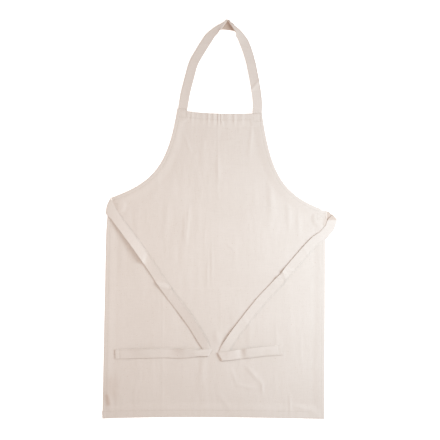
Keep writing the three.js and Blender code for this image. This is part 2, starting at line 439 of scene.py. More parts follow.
# Hollows: from, to, depth and half width
DENTS = [((-329, -521), (-323, -543), 0.9, 3.4), ((-310, -505), (-306, -545), 0.6, 4)]

# Painted shade on the cloth, in and around the dent by the label at the bottom left, at the left
# corner and beside the right corner where the ties come out: from, to, how much, and half width
PAINTED_SHADE_PLACES = [((-329, -518), (-325, -540), 0.62, 6.5), ((-316, -480), (-318, -505), 0.18, 22),
               ((-312, 52), (-300, 15), 0.22, 14), ((322, 18), (312, -12), 0.3, 9)]

# Gathers across the top hem: place, height and half width
GATHERS = [(-46, 0.9, 4), (-31, 1.7, 3.6), (-16, 1.5, 4.5), (-1.5, 1.8, 2.2), (7.3, 1.6, 2.2),
           (24, 1.1, 6), (46, 1.2, 4.5), (66, 1.1, 6), (-80, 0.8, 5)]

# How far a hem and the label raise the cloth around them, and over what length that fades
HEM_REACH, HEM_FADE = 24, 26
LABEL = {"x": -308, "y": -527, "lift": 0.6, "reach": 34, "fade": 14, "round": 1.2}
# The same near a corner, around a place inwards and down from it: flat, and raised
TIE_SEAM = ((14, 22), 46, 20)
UNDER_TIE, UNDER_STRAP = ((12, 20), 38, 14), ((14, 14), 32, 10)

PACKING_WIDTH = 5.0  # of the packing folds
EDGE_SHARE, EDGE_REACH = 0.25, 60  # the waves are lower near an edge
PRESSED = 0.9  # how much lower they are where a tie is sewn on
RAISED, SOFT = 0.35, 0.12  # how high they ride, and how softly they meet the table
ROLL_DOWN, ROLL_WIDTH = 0.7, 1.8  # the folded edge of a hem
GROOVE, GROOVE_WIDTH = 0.22, 1.3  # along a row of stitches

broad, middling, streaky, fine = (Lattice(seed) for seed in (11, 23, 37, 53))
# The cloth's waves: height, and how wide and how long they are
RELIEF = [(broad, 1.0, 120, 170), (middling, 0.55, 46, 95), (streaky, 0.40, 15, 95),
          (fine, 0.16, 7.5, 22)]


def puckers(x, y, from_top, from_foot, from_side):
    """The small gathers that sewing leaves across each hem."""
    waver = 1.5 * fine(x / 31, y / 60)
    gathers = 0.2 * np.sin(2 * math.pi * (x + 2 * waver) / 13.5)
    for centre, height, width in GATHERS:
        gathers = gathers + height * np.exp(-((x + waver - centre) / width) ** 2)
    top = gathers * smooth((44 - from_top) / 28)
    foot = 0.18 * np.sin(2 * math.pi * (x + 4 * fine(x / 50, 7.7)) / 19) \
        * (0.4 + 0.6 * np.abs(middling(x / 60, 9.1))) * smooth((50 - from_foot) / 40)
    side = 0.35 * np.sin(2 * math.pi * (y + 4 * fine(y / 40, 2.2)) / 17) \
        * np.abs(middling(5.5, y / 70)) * smooth((30 - from_side) / 24)
    return top + foot + side


def stitch_groove(distance, hem):
    """Stitches pull the cloth down along their row."""
    return GROOVE * np.exp(-((distance - hem + STITCH_INSET) / GROOVE_WIDTH) ** 2)


def around_corner(x, y, corner, sign, shape):
    """1 around a place inwards and down from a corner of the cloth, 0 beyond its reach."""
    (inwards, down), reach, fade = shape
    distance = np.hypot(x - corner[0] + inwards * sign, y - corner[1] + down)
    return smooth((reach - distance) / fade)


def cloth_height(x, y):
    """Height of the middle of the cloth above the table."""
    x, y = np.asarray(x, float), np.asarray(y, float)
    from_top, from_foot = to_line(x, y, TOP_LINE), to_line(x, y, BOTTOM_LINE)
    from_side = np.minimum(to_line(x, y, EDGE["left"]), to_line(x, y, EDGE["right"]))
    from_edge = np.minimum.reduce([from_top, from_foot, from_side])
    relief = sum(height * waves(x / across, y / up) for waves, height, across, up in RELIEF)
    for a, b, height, width in RIDGES:
        distance, t = to_segment(x, y, a, b)
        relief = relief + height * np.exp(-(distance / width) ** 2) * (0.3 + 0.7 * middle(t))
    for a, b, height in PACKING_FOLDS:
        distance, t = to_segment(x, y, a, b)
        patchy = 0.65 + 0.35 * streaky(x / 60, y / 60)
        relief = relief + height * np.exp(-distance / PACKING_WIDTH) * patchy * middle(t) ** 0.25
    for a, b, depth, width in DENTS:
        relief = relief - depth * np.exp(-(to_segment(x, y, a, b)[0] / width) ** 2)
    loose = EDGE_SHARE + (1 - EDGE_SHARE) * smooth(from_edge / EDGE_REACH)
    lift = relief * loose + puckers(x, y, from_top, from_foot, from_side) + RAISED
    for side, sign in SIDES.items():
        lift = lift * (1 - PRESSED * around_corner(x, y, WAIST[side], sign, TIE_SEAM))
    lift = 0.5 * (lift + np.sqrt(lift * lift + SOFT))  # the table stops it from sinking
    near = ((HEM["side"], from_side), (HEM["top"], from_top), (HEM["bottom"], from_foot))
    hem = np.maximum.reduce([smooth((width + HEM_REACH - distance) / HEM_FADE)
                             for width, distance in near])
    from_label = np.hypot((x - LABEL["x"]) / LABEL["round"], y - LABEL["y"])
    sewn = LABEL["lift"] * smooth((LABEL["reach"] - from_label) / LABEL["fade"])
    for side, sign in SIDES.items():
        for corner, shape in ((WAIST[side], UNDER_TIE), (EDGE[side][-1], UNDER_STRAP)):
            sewn = np.maximum(sewn, SEWN_LIFT * around_corner(x, y, corner, sign, shape))
    grooves = sum(stitch_groove(distance, width) for width, distance in near)
    rolled = ROLL_DOWN * (1 - np.clip(from_edge / ROLL_WIDTH, 0, 1)) ** 2
    return FLAT_Z - 0.1 + np.maximum(HEM_LIFT * hem, sewn) + lift - rolled - grooves * hem


# -------- building pieces

def mesh_piece(name, points, faces, material):
    mesh = bpy.data.meshes.new(name)
    mesh.from_pydata((np.asarray(points) * MM).tolist(), [], faces)
    mesh.shade_smooth()
    mesh.materials.append(material)
    piece = placed(name, mesh)
    return piece


def thin_sheet(name, top, bottom, material, slot):
    """A closed sheet between two grids of points."""
    rows, columns = top.shape[:2]
    count = rows * columns
    index = np.arange(count).reshape(rows, columns)
    quads = np.stack([index[:-1, :-1], index[:-1, 1:], index[1:, 1:], index[1:, :-1]], -1)
    upper = quads.reshape(-1, 4)
    lower = upper[:, ::-1] + count
    loop = np.concatenate([index[0, :-1], index[:-1, -1], index[-1, :0:-1], index[:0:-1, 0]])
    after = np.roll(loop, -1)
    rim = np.stack([after, loop, loop + count, after + count], -1)
    points = np.concatenate([top.reshape(-1, 3), bottom.reshape(-1, 3)])
    piece = mesh_piece(name, points, np.concatenate([upper, lower, rim]).tolist(), material)
    ends = {*index[0], *index[-1]}
    for edge in piece.data.edges:
        if all(v % count in ends for v in edge.vertices):
            edge.use_edge_sharp = True
    return piece


def attach(piece, body, node):
    """The piece moves with the body and stands for a node of the frame."""
    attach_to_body(piece, body)
    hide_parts(node)
    return piece


def paint_shade(piece, amounts):
    """How much painted shade the cloth has at each point of the piece, from 0 to 1."""
    layer = piece.data.attributes.new("painted_shade", "FLOAT", "POINT")
    layer.data.foreach_set("value", np.clip(amounts, 0, 1).astype(np.float32))


THREAD_RADIUS = 0.34
THREAD_SIDES = 6
# One stitch: how far along it, how thick, and how far up
STITCH = [(0.0, 0.35, -0.28), (0.12, 0.85, -0.08), (0.5, 1.0, 0.1), (0.88, 0.85, -0.08),
          (1.0, 0.35, -0.28)]
STITCH_SPAN = (0.12, 0.76)  # where a stitch starts in its pitch, and how much of it is thread
STITCH_UP = 0.12


def stitches(name, lines, material, pitch=STITCH_PITCH):
    """Rows of separate stitches, each a bowed length of thread, along lines of points."""
    points, faces = [], []
    turn = 2 * math.pi * np.arange(THREAD_SIDES) / THREAD_SIDES
    first, share = STITCH_SPAN
    for line, up in lines:
        path = resample(np.asarray(line, float), pitch)
        for a, b in zip(path[:-1], path[1:]):
            along = unit(b - a)
            side = unit(np.cross([0, 0, 1.0], along))
            over = np.cross(along, side)
            base = len(points)
            for t, size, bow in STITCH:
                centre = a + (first + share * t) * (b - a) + up * (bow + STITCH_UP) * over
                for angle in turn:
                    points.append(centre + THREAD_RADIUS * size * (math.cos(angle) * side
                                                                   + math.sin(angle) * over))
            last = base + (len(STITCH) - 1) * THREAD_SIDES
            for ring in range(base, last, THREAD_SIDES):
                for k in range(THREAD_SIDES):
                    m, n = ring + k, ring + (k + 1) % THREAD_SIDES
                    faces.append([m, n, n + THREAD_SIDES, m + THREAD_SIDES])
            faces.append(list(range(base + THREAD_SIDES - 1, base - 1, -1)))
            faces.append(list(range(last, last + THREAD_SIDES)))
    return mesh_piece(name, points, faces, material)


# -------- the cloth and its hems

JOINTS = {joint["name"]: joint for joint in frame["joints"]}


def joint_place(name):
    return np.array(JOINTS[name]["pos_m"]) / MM


def joint_axis(name):
    return np.array(JOINTS[name]["axis"], float)


def lifted(line, up):
    """Points of the cloth above a line seen from above; up is from the middle of the cloth."""
    return np.column_stack([line, cloth_height(line[:, 0], line[:, 1]) + up])


EDGE_STEPS = [0, 0.5, 1.2, 2.4, 4.5, 7.0, 8.8, 10.0, 11.2, 13.0, 15.5]  # from a side edge
END_STEPS = [0, 0.5, 1.2, 2.4, 4.5, 7.0, 10.0, 13.0, 16.0, 17.2, 18.0, 18.8, 20.0, 21.2, 24.0]
WAIST_STEPS = [1.2 * k for k in range(12)]  # close together, where the bib turns down
GRID = 2.9
WAIST_BEND = 10.0  # length of cloth at the waist fold, passed to bend_at


def cloth_rows(part):
    """How far up its part of the cloth each row of points is, from 0 to 1."""
    height = EDGE["left"][-1, 1] - WAIST["left"][1] if part == "bib" \
        else WAIST["left"][1] - EDGE["left"][0, 1]
    low, high = (WAIST_STEPS, END_STEPS) if part == "bib" else (END_STEPS, WAIST_STEPS[:1])
    upper = height - np.array(high)[::-1]
    count = int(round((upper[0] - low[-1]) / GRID)) + 1
    return np.concatenate([low, np.linspace(low[-1], upper[0], count)[1:-1], upper]) / height


def cloth_columns(width):
    near = np.array(EDGE_STEPS)
    count = int((WAIST["right"][0] - WAIST["left"][0]) / GRID)
    return np.concatenate([near, np.linspace(near[-1], width - near[-1], count)[1:-1],
                           width - near[::-1]]) / width


def panel(material):
    rows = []
    for part in ("skirt", "bib"):
        for v in cloth_rows(part)[1 if part == "bib" else 0:]:
            ends = row_line(part, v, 2)
            u = cloth_columns(np.linalg.norm(ends[1] - ends[0]))
            rows.append(cloth_point(part, u, np.full(len(u), v)))
    flat = np.array(rows)
    height = cloth_height(flat[..., 0], flat[..., 1])
    top = np.dstack([flat, height + CANVAS / 2])
    bottom = np.dstack([flat, height - CANVAS / 2])
    piece = thin_sheet("canvas_panel", top, bottom, material, "canvas")
    # painted shade near the corners and in and around the dent by the label
    painted_shade = np.zeros(flat.shape[:2])
    for a, b, amount, width in PAINTED_SHADE_PLACES:
        distance, _ = to_segment(flat[..., 0], flat[..., 1], a, b)
        painted_shade = np.maximum(painted_shade, amount * np.exp(-(distance / width) ** 2))
    paint_shade(piece, np.tile(painted_shade.ravel(), 2))
    return piece


def blend(piece, joint, start, end):
    """Bakes the piece's placement into its points; joint, start and end are not used."""
    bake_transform(piece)


def bend_at(piece, joint, reach):
    """Works out two points from the joint and the reach, and passes them to blend, which only bakes
    the piece's placement.
    """
    start, axis = joint_place(joint), joint_axis(joint)
    upwards = np.array([-axis[1], axis[0], 0]) * np.sign(axis[0])
    blend(piece, joint, start, start + reach * upwards)


def hem_piece(name, edge, width, inward, material):
    """The turned layers behind an edge; inward is 1 where the cloth is to the left of the edge."""
    steps = np.array([0.9, 1.4, 2.4, 5.0, 8.0, width - 2.0, width - 0.8, width])  # from the edge
    round_off = np.array([0.45, 0.15, 0, 0, 0, 0, 0.08, 0.3])  # how much thinner it is there
    path = resample(edge, 4.0)
    flat = np.stack([inset(path, inward * step) for step in steps], axis=1)
    top = cloth_height(flat[..., 0], flat[..., 1]) + UNDER
    frayed = 0.06 * fine(flat[..., 0] / 9, flat[..., 1] / 9)
    upper = np.dstack([flat, top - 0.3 * round_off])
    lower = np.dstack([flat, top - TURNED + round_off + frayed])
    if inward > 0:
        upper, lower = upper[:, ::-1], lower[:, ::-1]
    return thin_sheet(name, upper, lower, material, "canvas")


def part_of(edge, low, high):
    """The part of a side edge between two heights."""
    y = np.linspace(low, high, max(int((high - low) / 4), 4))
    return np.column_stack([np.interp(y, edge[:, 1], edge[:, 0]), y])


def span(node, axis):
    """Where a node of the frame starts and stops along an axis, 0 for x and 1 for y."""
    low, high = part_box(node)
    return low[axis] / MM, high[axis] / MM


def hem_stitches(name, edge, width, inward, material):
    line = inset(resample(edge, 2.0), inward * (width - STITCH_INSET))
    faces = [(lifted(line, CANVAS / 2), 1), (lifted(line, UNDER - TURNED), -1)]
    return stitches(name, faces, material)


def hems(material, thread):
    """Each hem's layers and stitches. Those of the armholes are not attached to a body; their
    placement is baked in.
    """
    inner = (span("left_strap_sewn_end", 0)[1], span("right_strap_sewn_end", 0)[0])
    top = TOP_LINE[(TOP_LINE[:, 0] > inner[0]) & (TOP_LINE[:, 0] < inner[1])]
    plan = [("top_hem", "top_hem", top, top, HEM["top"], -1, "bib"),
            ("bottom_hem", "bottom_hem", BOTTOM_LINE, BOTTOM_LINE, HEM["bottom"], 1, "skirt")]
    for side, inward in SIDES.items():
        for hem, body in (("armhole", None), ("side", "skirt")):
            name, node = f"{side}_{hem}", f"{side}_{hem}_hem"
            low, high = span(node, 1)
            if hem == "armhole":
                low = WAIST[side][1] + 1
            row_low, row_high = span(f"{name}_thread", 1)
            plan.append((name, node, part_of(EDGE[side], low, high),
                         part_of(EDGE[side], max(row_low, low), row_high),
                         HEM["side"], inward, body))
    made = []
    for name, node, edge, row_edge, width, inward, body in plan:
        layers = hem_piece(f"{name}_turned", edge, width, inward, material)
        row = hem_stitches(f"{name}_stitches", row_edge, width, inward, thread)
        for piece, replaced in ((layers, node), (row, f"{name}_thread")):
            if body:
                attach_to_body(piece, body)
            else:
                bend_at(piece, "waist_fold", WAIST_BEND)
            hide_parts(replaced)
            made.append(piece)
    return made


BOX_PITCH = 2.7


def stitched_box(node, body, material, crossed=False):
    """A closed row of stitches through the cloth, with a cross in it where asked."""
    (x0, x1), (y0, y1) = span(node, 0), span(node, 1)
    corners = np.array([(x0, y0), (x1, y0), (x1, y1), (x0, y1), (x0, y0)])
    lines = [corners[k:k + 2] for k in range(4)]
    if crossed:
        lines += [corners[[0, 2]], corners[[1, 3]]]
    rows = []
    for line in lines:
        path = resample(line, 1.5)
        rows += [(lifted(path, CANVAS / 2), 1), (lifted(path, UNDER - TAPE_THICK), -1)]
    return attach(stitches(f"{node}_rows", rows, material, pitch=BOX_PITCH), body, node)


# -------- tapes

ROW_STEP = 3.0  # between a tape's rows of points
TURN_STEPS = 9  # steps of a half turn
TAPE_COLUMNS = np.array([-14.0, -13.7, -13.0, -11.5, -9.0, -6.0, -3.0, 0.0,
                         3.0, 6.0, 8.8, 10.6, 11.5, 12.4, 13.3, 13.8, 14.0])
TAPE_ROUND = np.interp(np.abs(TAPE_COLUMNS), [13.0, 13.7, 14.0], [1.0, 0.8, 0.45])
SEAM_DIP = 0.16 * np.exp(-((TAPE_COLUMNS - TAPE_HALF + SEAM_INSET) / 1.2) ** 2)


class Tape:
    """A folded tape: rows with a centre, a direction across and how far each point curls up."""

    def __init__(self, centres, across, curl):
        self.middle = centres[:, None] + TAPE_COLUMNS[None, :, None] * across[:, None]
        self.middle[..., 2] += curl

    def rest_on_cloth(self, rows):
        """Nowhere in these rows does the tape sink into the cloth under it."""
        part = self.middle[rows]
        floor = cloth_height(part[..., 0], part[..., 1]) + CANVAS / 2 + 3 * GAP + TAPE_THICK / 2
        above = part[..., 2] - floor
        self.middle[rows, :, 2] = floor + 0.5 * (above + np.sqrt(above ** 2 + 0.05))

    def faces(self):
        along = np.gradient(self.middle, axis=0)
        sideways = np.gradient(self.middle, axis=1)
        normal = unit(np.cross(along, sideways))
        half = TAPE_THICK / 2 * TAPE_ROUND[None, :, None]
        dip = SEAM_DIP[None, :, None]
        return self.middle + (half - dip) * normal, self.middle - (half - dip) * normal

    def seam(self, rows, outside=1):
        """The rows of stitches that close the tape, on its two faces."""
        column = int(np.argmin(np.abs(TAPE_COLUMNS - TAPE_HALF + SEAM_INSET)))
        top, bottom = self.faces()
        return [(top[rows, column], outside), (bottom[rows, column], -outside)]

    def piece(self, name, material):
        top, bottom = self.faces()
        return thin_sheet(name, top[:, ::-1], bottom[:, ::-1], material, "tape")


def perpendicular(line):
    """Unit vectors across a line, to its left, level with the table."""
    along = unit(np.gradient(line[:, :2], axis=0))
    return np.column_stack([-along[:, 1], along[:, 0], np.zeros(len(line))])


def mixed(a, b, weight):
    return a + np.asarray(weight)[:, None] * (b - a)


def half_turn(place, crease, low, high, outward):
    """Rows that go round from height low to height high at a crease: centres and directions."""
    angles = np.radians(np.linspace(-90, 90, TURN_STEPS)[1:-1])
    radius = (high - low) / 2
    centres = [place + radius * (math.cos(a) * outward + np.array([0, 0, math.sin(a)]))
               + np.array([0, 0, (low + high) / 2 - place[2]]) for a in angles]
    return np.array(centres), np.tile(crease, (len(angles), 1))


CLIMBS = (6, 60, 2.0)  # slopes to try at a fold: from, to and step


def blend_over(piece, joint, parent_rows, child_rows):
    """Picks a slant up through the fold of a tape folded over itself and along the fold, and passes
    the two points it gives to blend, which only bakes the piece's placement.

    Of the slants tried, it takes the one that leaves the most room between the two runs.
    """
    crease, place = joint_axis(joint), joint_place(joint)
    ways = [np.array([sign * crease[0], sign * crease[1], climb])
            for climb in np.arange(*CLIMBS) for sign in (1, -1)]
    reach = lambda way: (((parent_rows - place) @ way).max(), ((child_rows - place) @ way).min())
    way = max(ways, key=lambda way: (reach(way)[1] - reach(way)[0]) / way[2])
    blend(piece, joint, *(place + way * level / (way @ way) for level in reach(way)))


# -------- the neck strap

STRAP_LEFT = [(-106.5, 324), (-98.5, 371), (-86, 420), (-74, 460), (-50, 502), (-23, 541),
              (14, 570)]
STRAP_RIGHT = [(38, 566), (57, 545), (74, 518), (89, 476), (99, 433), (108.5, 380),
               (113, 340), (112, 316)]
STRAP_SEWN = 28.0  # length of each end, sewn behind the bib
SEWN_ROWS = 12
STRAP_Z = 1.2  # height of the strap's middle where it lies on the table
STRAP_CENTRE = 25  # x of the crown, between the two legs
# The crown: directions across the legs' tops; heights of the legs, of the run between them
# and of the pleats that join these; how far the pleats are tucked in, slid down and narrowed
CROWN = {"crease": {"left": (0.68, 1.0), "right": (-0.76, 1.15)}, "high": 12.0, "low": 1.3,
         "pleat": 8.6, "tuck": 4.0, "slide": 9.0, "narrow": 0.75}
CROWN_SHADE_RAMP = ((14, 36), (0.5, 0.9))  # painted shade on the crown's lower run, from left to right: darker at the right, in the shade of the right leg
STRAP_BEND = 14.0  # length at the neck fold, passed to bend_at; the seam starts beyond it
# The lengths over which a leg rises to the crown, turns to its crease and narrows before it
LEG_RISE, LEG_TURN, LEG_NARROW = 85, 34, 32
# Creases across the strap: side, how far up, height, width, and how much further up at its left
STRAP_CREASES = [(-1, 470, 2.2, 5, 3), (-1, 398, 0.6, 12, 0), (-1, 515, 0.8, 8, -8),
                 (1, 393, 1.9, 6, -12), (1, 455, 0.7, 12, 6), (1, 505, 1.0, 9, 8)]


def strap_leg(points, crease, up):
    """One side of the neck loop, from the bib to the crown: centres and directions across."""
    path = resample(spline(points, 12), ROW_STEP)
    across = perpendicular(path)
    if not up:
        path, across = path[::-1], across[::-1]
    at = lengths(path)
    left = at[-1] - at
    across = mixed(across, np.array([*crease, 0]), smooth(1 - left / LEG_TURN))
    across = across * (1 - 0.2 * smooth(1 - np.abs(left - LEG_NARROW) / LEG_NARROW))[:, None]
    z = STRAP_Z + (CROWN["high"] - STRAP_Z) * smooth(1 - left / LEG_RISE) ** 1.3
    z = z + 0.35 * smooth(at / 40) * (1 + middling(at / 33, 4.4 if up else 8.8))
    return np.column_stack([path, z]), across


def sewn_behind(top):
    """Rows of the strap's end, behind the bib."""
    y = np.linspace(top[1] - STRAP_SEWN, top[1] - 1.5, SEWN_ROWS)
    line = np.column_stack([np.full(SEWN_ROWS, top[0]), y])
    return lifted(line, UNDER - TAPE_THICK / 2)


def crown(left_end, right_end):
    """The strap's top: each leg is tucked under itself, and a lower run joins the two."""
    ends = {}
    for side, end in (("left", left_end), ("right", right_end)):
        crease = np.array([*CROWN["crease"][side], 0])
        outward = unit(np.array([crease[1], -crease[0], 0])) * (1 if side == "left" else -1)
        tucked = end - CROWN["tuck"] * outward
        first, _ = half_turn(end, crease, CROWN["pleat"], end[2], outward)
        second, _ = half_turn(tucked, crease, CROWN["low"], CROWN["pleat"], -outward)
        pleat = np.concatenate([first[::-1], second[::-1], [[*tucked[:2], CROWN["low"]]]])
        hidden = smooth((np.arange(len(pleat)) - len(first) + 2) / 3)
        pleat = pleat - CROWN["slide"] * hidden[:, None] * unit(crease)
        width = 1 - (1 - CROWN["narrow"]) * hidden
        ends[side] = pleat, width[:, None] * crease
    (left, a), (right, b) = ends["left"], ends["right"]
    t = np.linspace(0, 1, 12)[1:-1]
    out = smooth(4 * t) * smooth(4 * (1 - t))  # clear of the legs, at its full width
    run = mixed(np.tile(left[-1], (len(t), 1)), right[-1], t)
    run[:, 1] += (CROWN["slide"] - 1) * out
    run[:, 2] += 0.5 * middle(t)
    turned = mixed(np.tile(a[-1], (len(t), 1)), b[-1], t) * (1 + 0.36 * out)[:, None]
    return np.concatenate([left, run, right[::-1]]), np.concatenate([a, turned, b[::-1]])


def neck_strap(material, thread):
    left, left_across = strap_leg(STRAP_LEFT, CROWN["crease"]["left"], True)
    right, right_across = strap_leg(STRAP_RIGHT, CROWN["crease"]["right"], False)
    top, top_across = crown(left[-1], right[-1])
    upright = np.array([[-1.0, 0, 0]])
    first = sewn_behind(STRAP_LEFT[0])
    last = sewn_behind(STRAP_RIGHT[-1])[::-1]
    centres = np.concatenate([first, left[1:], top, right[::-1][:-1], last])
    across = np.concatenate([np.repeat(upright, SEWN_ROWS, 0), left_across[1:], top_across,
                             right_across[::-1][:-1], np.repeat(-upright, SEWN_ROWS, 0)])
    w = TAPE_COLUMNS / TAPE_HALF
    s = lengths(centres)
    curl = 0.25 * smooth(s / 60)[:, None] * smooth((s[-1] - s) / 60)[:, None] \
        * (w ** 2 + 0.8 * w * middling(s / 37, 1.5)[:, None])
    for sign, y, height, width, slant in STRAP_CREASES:
        from_crease = centres[:, 1:2] - y + slant * sign * w
        on_side = (centres[:, :1] - STRAP_CENTRE) * sign > 0
        curl = curl + on_side * height * np.exp(-np.abs(from_crease) / width)
    tape = Tape(centres, across, curl)
    strap = tape.piece("neck_strap_tape", material)
    begin = len(first) + len(left) - 1
    row = np.arange(len(centres))
    # painted shade on the crown's lower run between the legs, darker to the right
    crown_shade = smooth((row - begin + 1) / 3) * smooth((begin + len(top) + 1 - row) / 3)
    crown_shade = crown_shade * np.interp(centres[:, 0], *CROWN_SHADE_RAMP)
    paint_shade(strap, np.tile(np.repeat(crown_shade, len(TAPE_COLUMNS)), 2))
    bend_at(strap, "neck_fold", STRAP_BEND)
    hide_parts("neck_strap", "left_strap_sewn_end", "right_strap_sewn_end")

    beyond = np.nonzero(centres[:, 1] > STRAP_LEFT[0][1] + STRAP_BEND + 6)[0]
    seam = stitches("neck_strap_seam_stitches", tape.seam(slice(beyond[0], beyond[-1])), thread)
    attach(seam, "neck_loop", "neck_strap_seam")


# -------- the waist ties

# How each tie lies: pairs of a fraction of its way across the skirt and a value there. Those
# with end_ are the same for its free end.
#   bow    how far its line bows to its left
#   lift   the height of its middle
#   roll   how much higher its right edge is than its left one (end_roll: left than right)
#   slant  how much sooner along the way the roll comes at its left edge
#   pinch  its width seen from above, as a share of the whole
# creases: place on the way, height, width, and how much further along at the left edge.
# start: where the run begins, from the joint. At the crease there, round_crease is how far
# the tie's corners are pulled in, and long_crease how much longer it is up the side edge.
# settle: over what length the run turns to its own way. split: where the two pieces meet
TIES = {
    "left": {
        "start": (3.5, 1.5), "round_crease": 3.5, "settle": 40, "sewn_x": -292.0,
        "end": (-304.0, -395.0), "split": 0.35, "long_crease": 1.6,
        "bow": [(0, 0), (0.06, 1), (0.35, 5), (0.55, 2.5), (0.8, 6.5), (1, 0)],
        "lift": [(0, 3.9), (0.2, 4.5), (0.33, 5), (0.37, 4.5), (0.5, 3.5), (0.56, 4.4),
                 (0.62, 3.2), (0.9, 2.9), (1, 2.4)],
        "roll": [(0, 0), (0.1, 3), (0.2, 6), (0.34, 8), (0.362, 0.5), (0.5, -2), (0.548, 3),
                 (0.562, -3), (0.8, -5), (0.93, -5), (1, -1)],
        "slant": [(0, 0), (0.25, 0.025), (0.4, 0.025), (0.5, -0.022), (0.62, -0.022), (0.8, 0),
                  (1, 0)],
        "creases": [(0.355, 1.0, 4, -12), (0.565, 1.8, 3, 13), (0.60, 0.8, 4, -9),
                    (0.12, 0.7, 6, 5)],
        "pinch": [(0, 1), (0.9, 1), (1, 0.75)],
        "end_bow": [(0, 0), (0.3, 1), (0.5, -1), (1, 0)],
        "end_lift": [(0, 6.9), (0.1, 6.3), (0.25, 4.6), (0.5, 3.2), (0.75, 3.6), (1, 3.2)],
        "end_roll": [(0, 0), (0.06, -1), (0.15, -4.5), (0.26, -8), (0.42, -1), (0.7, -5),
                     (0.9, -0.5), (1, 0)],
        "end_pinch": [(0, 0.75), (0.1, 0.7), (0.28, 1), (1, 1)],
    },
    "right": {
        "start": (4, -4), "round_crease": 0.5, "settle": 14, "sewn_x": 283.0,
        "end": (188.0, -383.0), "split": 0.42, "long_crease": 0.62,
        "bow": [(0, 0), (0.026, 1.1), (0.065, 7.6), (0.113, 6.6), (0.172, -1.5), (0.26, -4.3),
                (0.474, -7), (0.634, -12), (0.817, -10), (0.95, -4.4), (1, 0)],
        "lift": [(0, 3.9), (0.1, 3.4), (0.3, 3.2), (0.40, 3.6), (0.42, 5), (0.45, 3.4),
                 (0.6, 3.2), (0.9, 2.9), (1, 2.4)],
        "roll": [(0, 0), (0.1, -1.5), (0.3, 0), (0.36, -1), (0.39, 2.5), (0.415, -1.5),
                 (0.44, 2.5), (0.465, -1), (0.6, 0), (0.8, 2), (0.9, 4), (0.97, 1), (1, 0)],
        "slant": [(0, 0), (0.3, 0.02), (0.5, 0.02), (0.7, 0), (1, 0)],
        "creases": [(0.385, 1.1, 2.5, -6), (0.43, 1.0, 2.5, 7), (0.25, 0.7, 4, 6),
                    (0.62, 0.6, 5, -8), (0.76, 0.7, 5, 9)],
        "pinch": [(0, 1), (0.38, 1), (0.43, 0.85), (0.48, 1), (0.9, 1), (1, 0.9)],
        "end_bow": [(0, 0), (0.3, 1), (0.6, 2), (1, 0)],
        "end_lift": [(0, 6.9), (0.1, 6.9), (0.2, 5.8), (0.33, 3.6), (0.42, 5.2), (0.7, 3.4),
                     (1, 3.4)],
        "end_roll": [(0, 0), (0.07, 0.7), (0.15, 3), (0.25, 4), (0.33, 1.5), (0.42, 5), (0.6, 4),
                     (0.85, 1), (1, 0)],
        "end_pinch": [(0, 0.9), (0.3, 1), (1, 1)],
    },
}


def follow(points, t):
    """A smooth value through the points at t, with no swing past any of them."""
    x, y = np.array(points, float).T
    slope = np.diff(y) / np.diff(x)
    before, after = slope[:-1], slope[1:]
    turning = before * after > 0
    inner = np.where(turning, 2 * before * after / np.where(turning, before + after, 1), 0)
    tangent = np.concatenate([slope[:1], inner, slope[-1:]])
    k = np.clip(np.searchsorted(x, t, side="right") - 1, 0, len(x) - 2)
    gap, u = x[k + 1] - x[k], (t - x[k]) / (x[k + 1] - x[k])
    return (y[k] + gap * tangent[k] * u * (1 - u) ** 2 - gap * tangent[k + 1] * u ** 2 * (1 - u)
            + (y[k + 1] - y[k]) * u ** 2 * (3 - 2 * u))


def bowed(a, b, bow):
    """A line from a to b that bows sideways, and how far along each of its points is."""
    count = int(np.linalg.norm(b - a) / ROW_STEP)
    t = np.linspace(0, 1, count)
    left = unit(np.array([a[1] - b[1], b[0] - a[0]]))
    return a + t[:, None] * (b - a) + follow(bow, t)[:, None] * left, t


def crease_across(joint, side_vector):
    """The joint's crease as a direction across the tape, long enough for a slanted crease."""
    crease = joint_axis(joint)
    return crease / (crease @ side_vector)


def turned_back(place, crease, way_in, low, high):
    """Rows of a half turn at a slanted crease, from the lower run to the upper."""
    along = unit(crease)
    outward = unit(way_in - (way_in @ along) * along)
    return half_turn(place, crease, low, high, outward)


